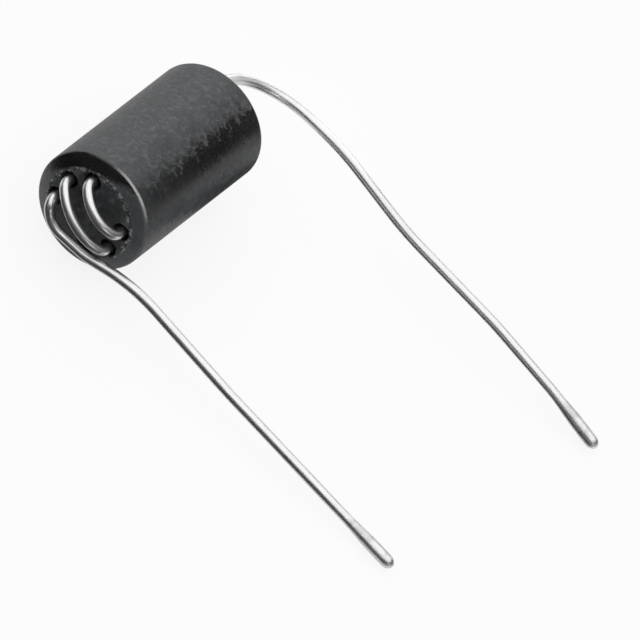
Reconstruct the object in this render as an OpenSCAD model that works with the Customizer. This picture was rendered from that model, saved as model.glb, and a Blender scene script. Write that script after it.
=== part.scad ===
// Wide-band choke: one tinned wire wound two and a half turns through a six-hole ferrite core.
// The core lies on its side along Y, its front face towards -Y, and both leads run towards +X.
// The origin is on the ground under the middle of the core.

/* [Core] */
// Diameter of the ferrite core
core_d = 6; // [5.4:0.1:8]
// Length of the core over both end faces
core_l = 10.35; // [7:0.05:14]
// How far the bevel round each end face reaches in from the barrel
bevel_w = 0.7; // [0.3:0.05:0.75]
// How far the same bevel reaches along the barrel
bevel_l = 0.35; // [0.15:0.05:0.6]
// Width of the small worn edge between the bevel and the barrel
edge_w = 0.08; // [0.04:0.01:0.15]

/* [Holes] */
// Diameter of each of the six holes
hole_d = 0.9; // [0.7:0.05:1]
// Radius of the circle on which the holes lie
hole_circle_r = 1.82; // [1.6:0.02:1.9]
// Angle between neighbours in each group of three holes
hole_pitch = 42; // [40:1:50]
// Turn of the whole pattern about the core's axis
pattern_turn = -25; // [-40:1:-10]

/* [Wire] */
// Diameter of the wire
wire_d = 0.52; // [0.4:0.01:0.6]
// Bend radius where the wire leaves a hole to cross an end face
loop_bend_r = 0.6; // [0.5:0.05:0.8]
// Height of straight wire between a hole's mouth and that bend
loop_lift = 0.1; // [0.05:0.01:0.4]
// Slope of a loop between its ends and its crown
loop_slope = 36; // [12:1:40]

/* [Front lead] */
// Distance of the front lead's middle line from the core's front face
front_gap = 0.58; // [0.54:0.02:1.2]
// Distance that the front lead drops below its hole before it turns outwards
front_drop = 1.05; // [0.9:0.05:1.3]
// Sideways run of that drop
front_drop_run = 0.65; // [0.4:0.05:1]
// Clearance between the front lead and the loop that it passes under
pass_gap = 0.27; // [0.05:0.01:0.4]
// Reach of the front lead's tip from the middle of the core
front_reach = 21.3; // [14:0.1:30]

/* [Back lead] */
// Distance of the back lead's middle line from the core's back face
back_gap = 4.25; // [4.2:0.05:6]
// Radius of the wide bend that turns the back lead along the front one
back_bend_r = 3.85; // [2.5:0.05:4]
// Drop of the back lead from its hole to the corner of that bend
back_drop = 1.35; // [0.6:0.05:1.6]
// Reach of the back lead's tip from the middle of the core
back_reach = 22.95; // [22:0.05:32]

/* [Soldered ends] */
// Diameter of the solder-swollen end of each lead
tip_d = 0.66; // [0.62:0.01:0.8]
// Length of its full-width part
tip_l = 1.8; // [1:0.1:3]
// Length of its taper down to the wire
taper_l = 1.1; // [0.5:0.1:2]
// Rounding of its end
tip_round = 0.2; // [0.08:0.02:0.24]

/* [Hidden] */

ferrite_grey = "#404144";
tinned_silver = "#c9ccd0";

core_r = core_d / 2;
half_l = core_l / 2;
tip_r = tip_d / 2;

// How far each hole's cutter runs past both end faces
drill_overrun = 1;

// Bends of each lead beyond the core: distance along it, height above the straight line
// from its first corner to its tip, and bend radius
front_bends = [[2.7, 0.87, 8], [9.2, 0.36, 30]];
back_bends = [[5.8, 0.61, 12], [10.5, 0.11, 15], [16.5, 0.44, 15], [20.6, 0.33, 10]];
// Bend radii: out of the front hole, at the foot of the front drop, under the loop, out of the back hole
front_exit_r = 0.5;
front_foot_r = 1.2;
front_pass_r = 3;
back_exit_r = 1.2;
// Distance of the bend outside the back hole from the back face
back_exit_gap = 0.3;
// How far short of the loop's hole the front lead turns level under it
pass_run = 0.55;

// Facets round the wire, and the most degrees of bend between two rings of them
wire_sides = 16;
ring_step = 9;
// Least straight wire between two bends of a loop
straight_bit = 0.05;
// Height of the solder's edge above the bare wire
solder_edge = 0.015;
// Length of the wire inside each soldered end
tip_overlap = 0.4;

// Middle of a hole, as [x, height above the ground], from its group and its place in it
function hole(group, place) =
    let (angle = pattern_turn + group * 180 + place * hole_pitch)
    [hole_circle_r * cos(angle), core_r + hole_circle_r * sin(angle)];

lower_right = hole(0, 0);
upper_right = hole(0, 1);
spare = hole(0, -1);
top = hole(1, -1);
upper_left = hole(1, 0);
lower_left = hole(1, 1);
holes = [lower_right, upper_right, spare, top, upper_left, lower_left];

// A route is a list of corners, each with its point and its bend radius
function corner(h, y, r) = [[h[0], y, h[1]], r];

// Loop over an end face: out of one hole, over a flat crown, into the other
function loop(from, to, side) =
    let (
        half_span = norm(to - from) / 2,
        first_setback = loop_bend_r * tan((90 - loop_slope) / 2),
        crown_setback = half_span / cos(loop_slope) - first_setback - straight_bit,
        y = half_l + loop_lift + first_setback
    )
    [
        corner(from, side * y, loop_bend_r),
        corner((from + to) / 2, side * (y + half_span * tan(loop_slope)), crown_setback / tan(loop_slope)),
        corner(to, side * y, loop_bend_r)
    ];

// Bends of a lead, in order from its first corner at [x, z] to its tip
function lead_bends(first, tip, y, bends) =
    [for (b = bends) corner(first + (tip - first) / norm(tip - first) * b[0] + [0, b[1]], y, b[2])];

function reversed(list) = [for (i = [len(list) - 1:-1:0]) list[i]];

front_y = -half_l - front_gap;
front_foot = lower_left + [front_drop_run, -front_drop];
front_pass = [lower_right[0] - pass_run, lower_right[1] - wire_d - pass_gap];
front_tip = [front_reach, tip_r];
front_lead = concat(
    [
        corner(lower_left, front_y, front_exit_r),
        corner(front_foot, front_y, front_foot_r),
        corner(front_pass, front_y, front_pass_r)
    ],
    lead_bends(front_pass, front_tip, front_y, front_bends),
    [corner(front_tip, front_y, 0)]
);

back_y = half_l + back_gap;
back_turn = top - [0, back_drop];
back_tip = [back_reach, tip_r];
back_lead = concat(
    [
        corner(top, half_l + back_exit_gap, back_exit_r),
        corner(back_turn, back_y, back_bend_r)
    ],
    lead_bends(back_turn, back_tip, back_y, back_bends),
    [corner(back_tip, back_y, 0)]
);

// The whole wire, from the front lead's tip to the back lead's
route = concat(
    reversed(front_lead),
    loop(lower_left, lower_right, 1),
    loop(lower_right, upper_left, -1),
    loop(upper_left, upper_right, 1),
    loop(upper_right, top, -1),
    back_lead
);

// Geometry of a route: headings of its straights, and angle, axis and setback of its bends
function unit(v) = v / norm(v);
function spun(v, axis, angle) =
    v * cos(angle) + cross(axis, v) * sin(angle) + axis * (axis * v) * (1 - cos(angle));
function heading(i) = unit(route[i + 1][0] - route[i][0]);
function bend_angle(i) = acos(min(1, heading(i - 1) * heading(i)));
function bend_axis(i) = unit(cross(heading(i - 1), heading(i)));
function setback(i) = route[i][1] * tan(bend_angle(i) / 2);

// Sideways vector of each straight, carried through the bends so that the tube doesn't twist
straights = len(route) - 1;
first_side = unit(cross(heading(0), [0, 1, 0]));
sides = [
    for (i = 0, s = first_side; i < straights; i = i + 1,
         s = i < straights ? spun(s, bend_axis(i), bend_angle(i)) : s) s
];

// Ring of points round the wire
function ring(centre, along, side) =
    [for (k = [0:wire_sides - 1]) centre + wire_d / 2 * spun(side, along, 360 * k / wire_sides)];

// Rings through one bend
function bend_rings(i) =
    let (
        axis = bend_axis(i),
        into = heading(i - 1),
        steps = ceil(bend_angle(i) / ring_step),
        inward = cross(axis, into),
        centre = route[i][0] - into * setback(i) + inward * route[i][1]
    )
    [
        for (k = [0:steps])
        let (a = bend_angle(i) * k / steps)
        ring(centre - spun(inward, axis, a) * route[i][1], spun(into, axis, a), spun(sides[i - 1], axis, a))
    ];

// Tube along the route, which stops short of both tips, inside the soldered ends
tip_whole = taper_l + tip_l + tip_round;
tube_stop = tip_whole - tip_overlap;
module tube() {
    rings = concat(
        [ring(route[0][0] + heading(0) * tube_stop, heading(0), sides[0])],
        [for (i = [1:straights - 1]) each bend_rings(i)],
        [ring(route[straights][0] - heading(straights - 1) * tube_stop, heading(straights - 1), sides[straights - 1])]
    );
    last = len(rings) - 1;
    polyhedron(
        points = [for (r = rings) each r],
        faces = concat(
            [[for (k = [0:wire_sides - 1]) k]],
            [
                for (i = [0:last - 1], k = [0:wire_sides - 1])
                let (a = i * wire_sides + k, b = i * wire_sides + (k + 1) % wire_sides)
                each [[a, a + wire_sides, b + wire_sides], [a, b + wire_sides, b]]
            ],
            [[for (k = [wire_sides - 1:-1:0]) last * wire_sides + k]]
        )
    );
}

// Soldered end of a lead, turned about its own axis, with its tip at the end of the route
module soldered_end(tip, along) {
    profile = concat(
        [[0, 0], [wire_d / 2 + solder_edge, 0], [tip_r, taper_l]],
        [
            for (a = [0:15:90])
            [tip_r - tip_round + tip_round * cos(a), taper_l + tip_l + tip_round * sin(a)]
        ],
        [[0, tip_whole]]
    );
    across = unit(cross([0, 1, 0], along));
    start = tip - along * tip_whole;
    multmatrix([
        [across[0], 0, along[0], start[0]],
        [across[1], 1, along[1], start[1]],
        [across[2], 0, along[2], start[2]]
    ])
        rotate_extrude($fn = 48)
            polygon(profile);
}

module ferrite_core() {
    profile = [
        [0, -half_l],
        [core_r - bevel_w, -half_l],
        [core_r - edge_w, -half_l + bevel_l - edge_w],
        [core_r, -half_l + bevel_l],
        [core_r, half_l - bevel_l],
        [core_r - edge_w, half_l - bevel_l + edge_w],
        [core_r - bevel_w, half_l],
        [0, half_l]
    ];
    color(ferrite_grey)
        difference() {
            translate([0, 0, core_r])
                rotate([90, 0, 0])
                    rotate_extrude($fn = 96)
                        polygon(profile);
            for (h = holes)
                translate([h[0], half_l + drill_overrun, h[1]])
                    rotate([90, 0, 0])
                        cylinder(d = hole_d, h = core_l + 2 * drill_overrun, $fn = 48);
        }
}

module winding_wire() {
    color(tinned_silver)
        union() {
            tube();
            soldered_end(route[0][0], -heading(0));
            soldered_end(route[straights][0], heading(straights - 1));
        }
}

ferrite_core();
winding_wire();
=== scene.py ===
import math

import bmesh
import bpy
from mathutils import Matrix, Vector


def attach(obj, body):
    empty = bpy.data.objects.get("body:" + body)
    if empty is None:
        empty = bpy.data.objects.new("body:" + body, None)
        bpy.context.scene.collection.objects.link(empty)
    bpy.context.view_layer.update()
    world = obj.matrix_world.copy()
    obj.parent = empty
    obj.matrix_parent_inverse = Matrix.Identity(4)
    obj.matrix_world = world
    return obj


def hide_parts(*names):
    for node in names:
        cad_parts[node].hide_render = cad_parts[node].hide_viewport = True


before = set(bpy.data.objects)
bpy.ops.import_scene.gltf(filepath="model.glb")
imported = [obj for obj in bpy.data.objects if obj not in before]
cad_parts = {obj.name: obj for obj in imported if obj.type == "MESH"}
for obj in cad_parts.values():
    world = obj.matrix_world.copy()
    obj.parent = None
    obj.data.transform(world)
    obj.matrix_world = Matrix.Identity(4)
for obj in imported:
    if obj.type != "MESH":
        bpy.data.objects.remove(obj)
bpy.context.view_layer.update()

mm = 0.001

# The core, as in part.scad, with its two angles in degrees
core_r = 3 * mm
half_l = 5.175 * mm
bevel_w = 0.7 * mm
bevel_l = 0.35 * mm
hole_r = 0.45 * mm
hole_circle_r = 1.82 * mm
hole_pitch = 42
pattern_turn = -25
drill_overrun = 1 * mm
axis_point = Vector((0, 0, core_r))
face_edge_r = core_r - bevel_w
rim_y = half_l - bevel_l

# Its finer form: facets round it, and the rounding of its rims, its end faces and the holes' mouths
core_sides = 192
hole_sides = 64
rim_round = 0.08 * mm
face_round = 0.06 * mm
mouth_round = 0.055 * mm
# How near to its place an edge counts as found, and how far a mouth may dip where the end face rounds off
near = 0.01 * mm
mouth_dip = 0.005 * mm

# The wire, as in part.scad
wire_r = 0.26 * mm
loop_bend_r = 0.6 * mm
loop_lift = 0.1 * mm
loop_slope = math.radians(36)
straight_bit = 0.05 * mm
front_gap = 0.58 * mm
front_drop = 1.05 * mm
front_drop_run = 0.65 * mm
front_exit_r = 0.5 * mm
front_foot_r = 1.2 * mm
front_pass_r = 3 * mm
pass_gap = 0.27 * mm
pass_run = 0.55 * mm
front_reach = 21.3 * mm
back_gap = 4.25 * mm
back_drop = 1.35 * mm
back_bend_r = 3.85 * mm
back_exit_r = 1.2 * mm
back_exit_gap = 0.3 * mm
back_reach = 22.95 * mm
tip_r = 0.33 * mm
tip_l = 1.8 * mm
taper_l = 1.1 * mm
tip_round = 0.2 * mm
tip_whole = tip_round + tip_l + taper_l

# Bends of each lead: distance along it, height above its straight line and bend radius, in mm
front_bends = [(2.7, 0.87, 8), (9.2, 0.36, 30)]
back_bends = [(5.8, 0.61, 12), (10.5, 0.11, 15), (16.5, 0.44, 15), (20.6, 0.33, 10)]

# Its finer form: the domed end, with the share of its cross-section that is left at the very tip,
# the solder's smooth swell, the spacing of points along the wire and the most bend between two of them
tip_dome = 0.42 * mm
tip_flat = 0.06
swell_l = 1.6 * taper_l
wire_step = 0.05 * mm
bend_step = math.radians(1.5)


# ---------------------------------------------------------------- modelling

def alone(piece):
    """Makes a piece the only one that is selected and active."""
    if bpy.context.object and bpy.context.object.mode != "OBJECT":
        bpy.ops.object.mode_set(mode="OBJECT")
    bpy.ops.object.select_all(action="DESELECT")
    piece.select_set(True)
    bpy.context.view_layer.objects.active = piece


def pick(piece, kind, wanted):
    """In edit mode, selects the edges or faces that a test on them wants."""
    bpy.ops.mesh.select_mode(type=kind)
    bpy.ops.mesh.select_all(action="DESELECT")
    mesh = bmesh.from_edit_mesh(piece.data)
    for item in {"EDGE": mesh.edges, "FACE": mesh.faces}[kind]:
        if wanted(item):
            item.select_set(True)
    mesh.select_flush_mode()
    bmesh.update_edit_mesh(piece.data)


def hole(group, place):
    """Middle of a hole, as its x and its height above the ground."""
    angle = math.radians(pattern_turn + 180 * group + place * hole_pitch)
    return Vector((hole_circle_r * math.cos(angle), core_r + hole_circle_r * math.sin(angle)))


lower_right, upper_right, spare = hole(0, 0), hole(0, 1), hole(0, -1)
top, upper_left, lower_left = hole(1, -1), hole(1, 0), hole(1, 1)
holes = [lower_right, upper_right, spare, top, upper_left, lower_left]


def on_circle(edge, x, z, radius):
    """Whether both ends of an edge lie at a radius from the line along Y through x and z."""
    return all(abs(math.hypot(v.co.x - x, v.co.z - z) - radius) < near for v in edge.verts)


def on_rim(edge, radius):
    """Whether an edge runs round the core's axis, at a radius from it."""
    a, b = edge.verts
    return on_circle(edge, 0, core_r, radius) and abs(a.co.y - b.co.y) < near


def on_mouth(edge):
    """Whether an edge is part of a hole's mouth."""
    if any(abs(abs(v.co.y) - half_l) > mouth_dip for v in edge.verts):
        return False
    return any(on_circle(edge, x, z, hole_r) for x, z in holes)


def model_core():
    """The pressed ferrite cylinder: bevelled ends, six bores with softened mouths."""
    bpy.ops.mesh.primitive_cylinder_add(
        vertices=core_sides, radius=core_r, depth=2 * rim_y,
        location=axis_point, rotation=(math.pi / 2, 0, 0))
    core = bpy.context.object
    core.name = "ferrite_six_hole_core"
    core.data.name = core.name
    alone(core)
    bpy.ops.object.transform_apply(location=True, rotation=True, scale=True)

    # Bevelled ends, and the rounding of their edges
    narrow = face_edge_r / core_r
    bpy.ops.object.mode_set(mode="EDIT")
    for side in (-1, 1):
        pick(core, "FACE", lambda f: f.normal.y * side > 0.9)
        bpy.ops.mesh.extrude_region_move(TRANSFORM_OT_translate={"value": (0, side * bevel_l, 0)})
        bpy.ops.transform.resize(value=(narrow, 1, narrow), center_override=(0, side * half_l, core_r))
    pick(core, "EDGE", lambda e: on_rim(e, core_r))
    bpy.ops.mesh.bevel(offset=rim_round, segments=4, affect="EDGES")
    pick(core, "EDGE", lambda e: on_rim(e, face_edge_r))
    bpy.ops.mesh.bevel(offset=face_round, segments=3, affect="EDGES")
    bpy.ops.object.mode_set(mode="OBJECT")

    # Six bores, right through
    drills = []
    for x, z in holes:
        bpy.ops.mesh.primitive_cylinder_add(
            vertices=hole_sides, radius=hole_r, depth=2 * (half_l + drill_overrun),
            location=(x, 0, z), rotation=(math.pi / 2, 0, 0))
        drills.append(bpy.context.object)
    alone(drills[0])
    for drill in drills:
        drill.select_set(True)
    bpy.ops.object.join()
    drill = bpy.context.object
    alone(core)
    bored = core.modifiers.new("bores", "BOOLEAN")
    bored.operation = "DIFFERENCE"
    bored.solver = "EXACT"
    bored.object = drill
    bpy.ops.object.modifier_apply(modifier=bored.name)
    bpy.data.objects.remove(drill)

    # Softened mouths, then smooth shading that leaves the end faces flat
    bpy.ops.object.mode_set(mode="EDIT")
    pick(core, "EDGE", on_mouth)
    bpy.ops.mesh.bevel(offset=mouth_round, segments=3, affect="EDGES")
    bpy.ops.object.mode_set(mode="OBJECT")
    bpy.ops.object.shade_smooth_by_angle(angle=math.radians(40))
    flat_ends = core.modifiers.new("flat ends", "WEIGHTED_NORMAL")
    flat_ends.keep_sharp = True
    bpy.ops.object.modifier_apply(modifier=flat_ends.name)
    return core


def corner(h, y, r):
    """Corner of the wire's route, at h as x and height: its point and its bend radius."""
    return Vector((h[0], y, h[1])), r


def loop_over(start, end, side):
    """Loop of wire over an end face: out of one hole, over its crown, into the other."""
    half_span = (end - start).length / 2
    first_setback = loop_bend_r * math.tan((math.pi / 2 - loop_slope) / 2)
    crown_setback = half_span / math.cos(loop_slope) - first_setback - straight_bit
    y = half_l + loop_lift + first_setback
    crown_y = y + half_span * math.tan(loop_slope)
    return [
        corner(start, side * y, loop_bend_r),
        corner((start + end) / 2, side * crown_y, crown_setback / math.tan(loop_slope)),
        corner(end, side * y, loop_bend_r),
    ]


def lead_bends(first, tip, y, bends):
    """Gentle bends of a lead between its first corner and its tip."""
    along = (tip - first).normalized()
    return [corner(first + along * (d * mm) + Vector((0, h * mm)), y, r * mm) for d, h, r in bends]


def wire_route():
    """Corners of the whole wire, from the front lead's tip to the back lead's."""
    front_y = -half_l - front_gap
    foot = lower_left + Vector((front_drop_run, -front_drop))
    under = Vector((lower_right.x - pass_run, lower_right.y - 2 * wire_r - pass_gap))
    front_tip = Vector((front_reach, tip_r))
    front_lead = [
        corner(lower_left, front_y, front_exit_r),
        corner(foot, front_y, front_foot_r),
        corner(under, front_y, front_pass_r),
        *lead_bends(under, front_tip, front_y, front_bends),
        corner(front_tip, front_y, 0),
    ]
    back_y = half_l + back_gap
    turn = top - Vector((0, back_drop))
    back_tip = Vector((back_reach, tip_r))
    back_lead = [
        corner(top, half_l + back_exit_gap, back_exit_r),
        corner(turn, back_y, back_bend_r),
        *lead_bends(turn, back_tip, back_y, back_bends),
        corner(back_tip, back_y, 0),
    ]
    return [
        *reversed(front_lead),
        *loop_over(lower_left, lower_right, 1),
        *loop_over(lower_right, upper_left, -1),
        *loop_over(upper_left, upper_right, 1),
        *loop_over(upper_right, top, -1),
        *back_lead,
    ]


def centreline(route):
    """Evenly spaced points along a route, with an arc of its own radius at each corner, and its length."""
    dense = [route[0][0]]
    for (before, _), (here, radius), (after, _) in zip(route, route[1:], route[2:]):
        into, out = (here - before).normalized(), (after - here).normalized()
        turn = into.angle(out)
        setback = radius * math.tan(turn / 2)
        axis = into.cross(out).normalized()
        middle = here - into * setback + axis.cross(into) * radius
        spoke = here - into * setback - middle
        steps = max(2, math.ceil(turn / bend_step))
        dense += [middle + Matrix.Rotation(turn * k / steps, 3, axis) @ spoke for k in range(steps + 1)]
    dense.append(route[-1][0])
    reach = [0.0]
    for a, b in zip(dense, dense[1:]):
        reach.append(reach[-1] + (b - a).length)
    count = round(reach[-1] / wire_step)
    points, k = [], 0
    for n in range(count + 1):
        at = reach[-1] * n / count
        while k < len(dense) - 2 and reach[k + 1] < at:
            k += 1
        share = (at - reach[k]) / (reach[k + 1] - reach[k])
        points.append(dense[k].lerp(dense[k + 1], share))
    return points, reach[-1]


def wire_thickness(from_tip):
    """Radius of the wire at a distance from its nearer tip: the solder swells it there."""
    swell = max(0.0, min(1.0, (tip_whole - from_tip) / swell_l))
    thick = wire_r + (tip_r - wire_r) * swell * swell * (3 - 2 * swell)
    if from_tip < tip_dome:
        thick *= math.sqrt(max(tip_flat, 1 - (1 - from_tip / tip_dome) ** 2))
    return thick


def model_wire():
    """One length of tinned wire, swept along its route, with a solder-swollen end on each lead."""
    points, length = centreline(wire_route())
    last = len(points) - 1
    path = bpy.data.curves.new("tinned_winding_wire", "CURVE")
    path.dimensions = "3D"
    path.twist_mode = "MINIMUM"
    path.bevel_depth = 1
    path.bevel_resolution = 4
    path.use_fill_caps = True
    line = path.splines.new("POLY")
    line.points.add(last)
    for n, point in enumerate(points):
        line.points[n].co = (*point, 1)
        line.points[n].radius = wire_thickness(length * min(n, last - n) / last)
    wire = bpy.data.objects.new("tinned_winding_wire", path)
    bpy.context.scene.collection.objects.link(wire)
    alone(wire)
    bpy.ops.object.convert(target="MESH")
    wire = bpy.context.object
    alone(wire)
    bpy.ops.object.mode_set(mode="EDIT")
    bpy.ops.mesh.select_all(action="SELECT")
    bpy.ops.mesh.remove_doubles(threshold=0.001 * mm)
    bpy.ops.mesh.normals_make_consistent(inside=False)
    bpy.ops.object.mode_set(mode="OBJECT")
    bpy.ops.object.shade_smooth_by_angle(angle=math.radians(60))
    return wire, length


core = model_core()
wire, wire_length = model_wire()


# ---------------------------------------------------------------- materials

class Signal:
    """A node's output socket. Arithmetic on it adds Math nodes, and add() adds any other node."""

    def __init__(self, tree, socket=None):
        self.tree = tree
        self.socket = socket

    def add(self, kind, settings=None, inputs=None, output=0):
        """Adds a node: its settings first, then the values or links of its sockets."""
        node = self.tree.nodes.new(kind)
        for name, value in (settings or {}).items():
            setattr(node, name, value)
        for name, value in (inputs or {}).items():
            if isinstance(value, Signal):
                self.tree.links.new(value.socket, node.inputs[name])
            else:
                node.inputs[name].default_value = value
        return Signal(self.tree, node.outputs[output] if node.outputs else None)

    def sibling(self, output):
        """Another output of the node that this signal comes from."""
        return Signal(self.tree, self.socket.node.outputs[output])

    def parts(self):
        """The x, y and z of this vector."""
        x = self.add("ShaderNodeSeparateXYZ", {}, {"Vector": self})
        return x, x.sibling("Y"), x.sibling("Z")

    def math(self, operation, *values):
        """A Math node on these values, in their order."""
        return self.add("ShaderNodeMath", {"operation": operation}, dict(enumerate(values)))

    def __add__(self, other):
        return self.math("ADD", self, other)

    def __sub__(self, other):
        return self.math("SUBTRACT", self, other)

    def __rsub__(self, other):
        return self.math("SUBTRACT", other, self)

    def __mul__(self, other):
        return self.math("MULTIPLY", self, other)

    def __truediv__(self, other):
        return self.math("DIVIDE", self, other)

    __radd__ = __add__
    __rmul__ = __mul__

    def size(self):
        return self.math("ABSOLUTE", self)

    def root(self):
        return self.math("SQRT", self)

    def at_most(self, other):
        return self.math("MINIMUM", self, other)

    def between(self, low, high):
        """0 below low, 1 above high, smooth in between; the other way round where high is less."""
        return self.add("ShaderNodeMapRange", {"interpolation_type": "SMOOTHSTEP"},
                        {"Value": self, "From Min": low, "From Max": high})

    def tint(self, under, over):
        """A colour that goes from under to over as this signal goes from 0 to 1."""
        return self.add("ShaderNodeMix", {"data_type": "RGBA", "clamp_factor": True},
                        {0: self, 6: under, 7: over}, 2)

    def noise(self, scale, detail=3.0, roughness=0.5, distortion=0.0):
        """Noise on this vector, scale being its features per unit, which is a metre on a place."""
        return self.add("ShaderNodeTexNoise", {}, {
            "Vector": self, "Scale": scale, "Detail": detail, "Roughness": roughness, "Distortion": distortion})

    def relief(self, depth):
        """A normal from this signal as a height, depth in metres."""
        return self.add("ShaderNodeBump", {}, {"Height": self, "Distance": depth, "Strength": 1.0})


def grey(value, warmth=0.0):
    """A linear colour from an sRGB grey of 0 to 255, warmer towards red or cooler towards blue."""
    def linear(v):
        v = max(0.0, min(255.0, v)) / 255
        return v / 12.92 if v <= 0.04045 else ((v + 0.055) / 1.055) ** 2.4
    return (linear(value + warmth), linear(value), linear(value - warmth), 1.0)


def new_material(name):
    """An empty material, and a signal to start its nodes from."""
    material = bpy.data.materials.new(name)
    material.use_nodes = True
    tree = material.node_tree
    tree.nodes.clear()
    return material, Signal(tree)


def finish(start, shader):
    """Joins a material's shader to its output."""
    start.add("ShaderNodeOutputMaterial", {}, {"Surface": shader})


def layered(base, layers):
    """A colour with further colours over it, each as far as its mask says."""
    for mask, colour in layers:
        base = mask.tint(base, colour)
    return base


def sintered_ferrite():
    """Dark grey sintered ferrite: fine grain, cloudy mottling and rubbed edges, with painted shade as a dark
    band along the barrel and on the bevel's upper left, and a painted highlight on the front rim.
    """
    material, start = new_material("sintered_ferrite")
    place = start.add("ShaderNodeTexCoord", {}, {}, "Object")
    x, y, z = place.parts()
    z = z - core_r
    out = (x * x + z * z).root()
    along = y.size()
    angle = z.math("ARCTAN2", z, x)

    grain = place.noise(11000, 3, 0.6)
    chips = place.noise(6500, 3, 0.6, 0.8)
    mottle = place.noise(3600, 3, 0.6, 0.6)
    cloud = place.noise(900, 3, 0.6, 0.5)
    drift = place.noise(260, 2, 0.5)
    flecks = chips.between(0.50, 0.62)

    # Painted shade: a dark ragged band along the barrel's upper right, stronger towards the back end
    shade_band_angle = math.radians(52)
    ragged = angle + (mottle - 0.5) * 0.9 + (cloud - 0.5) * 0.5
    painted_shade_band = (ragged - shade_band_angle).size().between(0.38, 0.16) * y.between(-10 * mm, 1.5 * mm)

    def ring(radius, height, outer, inner):
        """A ring round each end of the core: 0 at a distance of outer from it, 1 within inner."""
        return ((out - radius).size() + (along - height).size()).between(outer, inner)

    # Painted shade: the bevel is nearly black towards its upper left, most of all along its outer edge
    rim = ring(core_r - 0.05 * mm, rim_y, 0.20 * mm, 0.05 * mm)
    bevel = (out - face_edge_r).between(0, 0.1 * mm) * (along - rim_y).between(0, 0.03 * mm)
    upper_left_side = (z * 0.79 - x * 0.62) / out
    towards_rim = (out - 2.65 * mm) * (0.7 / mm)
    shaded_side = (upper_left_side + towards_rim + (chips - 0.5) * 0.3).between(0.50, 0.77)
    bevel_painted_shade = (bevel + rim).at_most(1) * shaded_side

    # Rubbed edges and a painted highlight: the rim rubbed a little, a painted highlight along the front rim's
    # upper right with rubbed flecks in it, and flecks round each end face
    crest = ring(core_r, rim_y - 0.03 * mm, 0.13 * mm, 0.03 * mm)
    face_edge = ring(face_edge_r, half_l, 0.22 * mm, 0.02 * mm)
    painted_highlight_angle = math.radians(66)
    painted_highlight_part = (angle - painted_highlight_angle).size().between(0.60, 0.15) * y.between(0, -4 * mm)
    wear_and_painted_highlight = rim * 0.09 * (1 - shaded_side) + crest * painted_highlight_part * (0.8 + flecks * 0.6) + face_edge * flecks * 0.6

    # The body's two greys, then the clouds, mottling and grain on it, then the painted shade of the band, the
    # edges, the painted shade of the bevel, and the rubbing with its painted highlight
    base = layered(drift.between(0.40, 0.62).tint(grey(40, -3), grey(48, -3)), [
        (cloud.between(0.42, 0.66) * 0.7, grey(58, -3)),
        (mottle.between(0.50, 0.70) * 0.8, grey(82, -2)),
        (mottle.between(0.48, 0.28) * 0.8, grey(20)),
        (grain.between(0.60, 0.74) * 0.5, grey(104)),
        # painted shade: the dark band along the barrel
        (painted_shade_band * 0.95, grey(5)),
        (bevel * 0.5, grey(80, -2)),
        # painted shade: the nearly black upper left of the bevel
        (bevel_painted_shade * 0.97, grey(3)),
        # rubbed edges, and the painted highlight on the front rim
        (wear_and_painted_highlight, grey(190)),
    ])
    height = (grain * 0.35 + mottle * 0.65) * (1 - painted_shade_band * 0.5 - bevel_painted_shade * 0.6)
    finish(start, start.add("ShaderNodeBsdfPrincipled", {}, {
        "Base Color": base,
        "Roughness": 0.36 + cloud * 0.16 + grain * 0.08 - painted_shade_band * 0.22 - bevel_painted_shade * 0.22,
        "IOR": 1.65,
        "Normal": height.relief(0.045 * mm),
    }))
    return material


def tinned_copper():
    """Bright tin on drawn wire: fine lengthwise marks, small dents, and a lumpier solder coat at both tips."""
    material, start = new_material("tinned_copper")
    u, v, _ = start.add("ShaderNodeUVMap", {"uv_map": "UVMap"}).parts()
    turn = v * (2 * math.pi)
    # The marks are drawn out along the wire, to 20 times their width
    skin = start.add("ShaderNodeCombineXYZ", {}, {
        "X": turn.math("COSINE", turn), "Y": turn.math("SINE", turn), "Z": u * (wire_length / wire_r / 20)})
    marks = skin.noise(5, 4, 0.7)
    place = start.add("ShaderNodeTexCoord", {}, {}, "Object")
    blotch = place.noise(900, 3, 0.6)
    lumps = place.noise(1700, 2, 0.5)
    from_tip = u.at_most(1 - u) * wire_length
    solder = from_tip.between(3.2 * mm, 2.7 * mm)

    colour = layered(marks.between(0.3, 0.7).tint(grey(222), grey(242)), [
        (blotch.between(0.6, 0.75) * 0.5, grey(200, 1)),
        (solder * lumps.between(0.45, 0.65) * 0.6, grey(190)),
    ])
    height = marks + blotch * 0.5 + solder * lumps * 5
    finish(start, start.add("ShaderNodeBsdfPrincipled", {}, {
        "Base Color": colour,
        "Metallic": 1.0,
        "Roughness": 0.2 + marks * 0.16 + blotch * 0.08 + solder * 0.06,
        "Normal": height.relief(0.006 * mm),
    }))
    return material


def dress(piece, material):
    """Makes a material the only one of a piece."""
    piece.data.materials.clear()
    piece.data.materials.append(material)


dress(core, sintered_ferrite())
dress(wire, tinned_copper())

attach(core, "root")
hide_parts("ferrite_core")
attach(wire, "root")
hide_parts("winding_wire")


# ---------------------------------------------------------------- stage, light and camera

def ray_kinds(start):
    """Two signals: what the camera sees straight, and what it sees by reflection or through glass."""
    straight = start.add("ShaderNodeLightPath", {}, {}, "Is Camera Ray")
    return straight, straight.sibling("Is Glossy Ray") + straight.sibling("Is Transmission Ray")


def white_paper():
    """White paper that shows white to the camera and in reflections, and keeps the choke's soft shadow."""
    material, start = new_material("white_paper")
    straight, mirrored = ray_kinds(start)
    lit = start.add("ShaderNodeBsdfDiffuse", {}, {"Color": grey(244)})
    white = start.add("ShaderNodeEmission", {}, {"Color": (1, 1, 1, 1), "Strength": 1.0})
    finish(start, start.add("ShaderNodeMixShader", {}, {0: straight * 0.87 + mirrored * 0.3, 1: lit, 2: white}))
    return material


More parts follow.
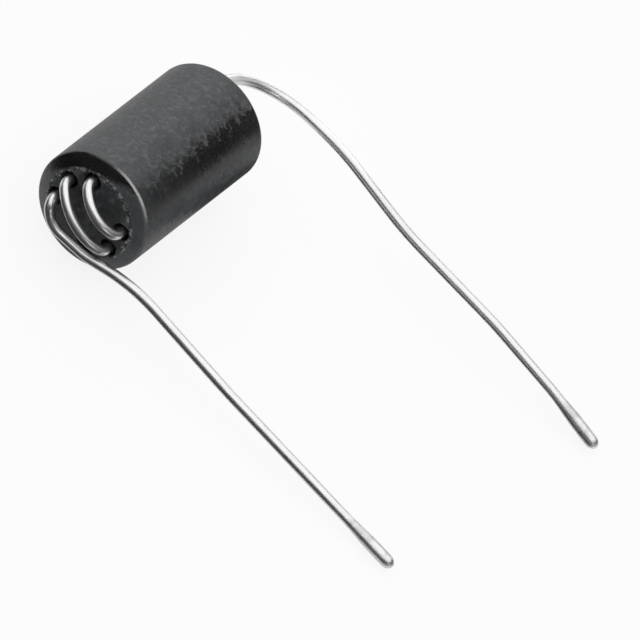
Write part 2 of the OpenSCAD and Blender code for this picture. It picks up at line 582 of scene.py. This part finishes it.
def matt_black():
    """Matt black card, which the wire shows as its dark side."""
    material, start = new_material("black_card")
    finish(start, start.add("ShaderNodeBsdfDiffuse", {}, {"Color": grey(70)}))
    return material


def lay_sheet(name, centre, size, material):
    """A flat sheet of the stage, its size in metres."""
    bpy.ops.object.select_all(action="DESELECT")
    bpy.ops.mesh.primitive_plane_add(size=1, location=centre)
    sheet = bpy.context.object
    sheet.name = name
    sheet.scale = (*size, 1)
    dress(sheet, material)
    return sheet


def lay_card(name, x, y, size, material):
    """A card that lies just over the paper and is only seen in reflections."""
    card = lay_sheet(name, (x, y, 0.05 * mm), size, material)
    card.visible_camera = False
    card.visible_diffuse = False
    card.visible_shadow = False
    return card


# The large card lies in front of the choke, for the wire and the front face, and the small one
# between the leads, for the back lead
floor = lay_sheet("paper_floor", (0, 0, -0.02 * mm), (3, 3), white_paper())
black = matt_black()
card = lay_card("black_card", 0.02, -0.1065, (0.3, 0.2), black)
flag = lay_card("black_flag", 0.0337, 0.0059, (0.0606, 0.006), black)

# The sky is white to the camera, and nearly dark as light and in reflections
world = bpy.data.worlds.new("studio")
bpy.context.scene.world = world
world.use_nodes = True
world.node_tree.nodes.clear()
sky = Signal(world.node_tree)
straight, mirrored = ray_kinds(sky)
sky.add("ShaderNodeOutputWorld", {}, {"Surface": sky.add("ShaderNodeBackground", {}, {
    "Color": (1, 1, 1, 1), "Strength": 0.06 + straight * 0.94 + mirrored * 0.02})})


def softbox(name, direction, distance, size, level, aim=(8, 1, 2)):
    """A soft light that faces a point in mm from a direction, level being its brightness as seen from there."""
    light = bpy.data.lights.new(name, "AREA")
    light.shape = "RECTANGLE"
    light.size, light.size_y = size
    light.energy = level * math.pi * size[0] * size[1]
    lamp = bpy.data.objects.new(name, light)
    bpy.context.scene.collection.objects.link(lamp)
    towards = Vector(direction).normalized()
    lamp.location = Vector(aim) * mm + towards * distance
    lamp.rotation_mode = "QUATERNION"
    lamp.rotation_quaternion = towards.to_track_quat("Z", "Y")
    lamp.visible_camera = False


softbox("ceiling_softbox", (-0.14, -0.06, 1), 0.36, (0.86, 0.92), 1.1)
softbox("back_left_softbox", (-0.54, 0.76, 0.38), 0.45, (0.44, 0.34), 1.0)
softbox("right_edge_strip", (0.82, -0.56, 0.14), 0.40, (0.08, 0.05), 5.0)
softbox("small_bend_reflector", (0.58, 0.74, 0.34), 0.008, (0.0055, 0.0045), 0.6, aim=(0.3, 7.8, 3.9))
softbox("bright_backdrop", (-0.04, 1, 0.12), 0.50, (0.42, 0.18), 1.0)

# The camera as fitted to the photograph: the directions behind and above it, and its place
camera_back = Vector((0.14573925, -0.71851585, 0.68006988))
camera_up = Vector((-0.67435438, 0.43082590, 0.59969593))
camera_place = Vector((189.8073, -882.9856, 838.9298)) * mm
lens = bpy.data.cameras.new("long_lens")
lens.lens = 1500
lens.clip_start = 0.05
lens.clip_end = 10
camera = bpy.data.objects.new("long_lens", lens)
bpy.context.scene.collection.objects.link(camera)
turned = Matrix((camera_up.cross(camera_back), camera_up, camera_back)).transposed().to_4x4()
camera.matrix_world = Matrix.Translation(camera_place) @ turned
bpy.context.scene.camera = camera

bpy.context.scene.view_settings.view_transform = "Standard"
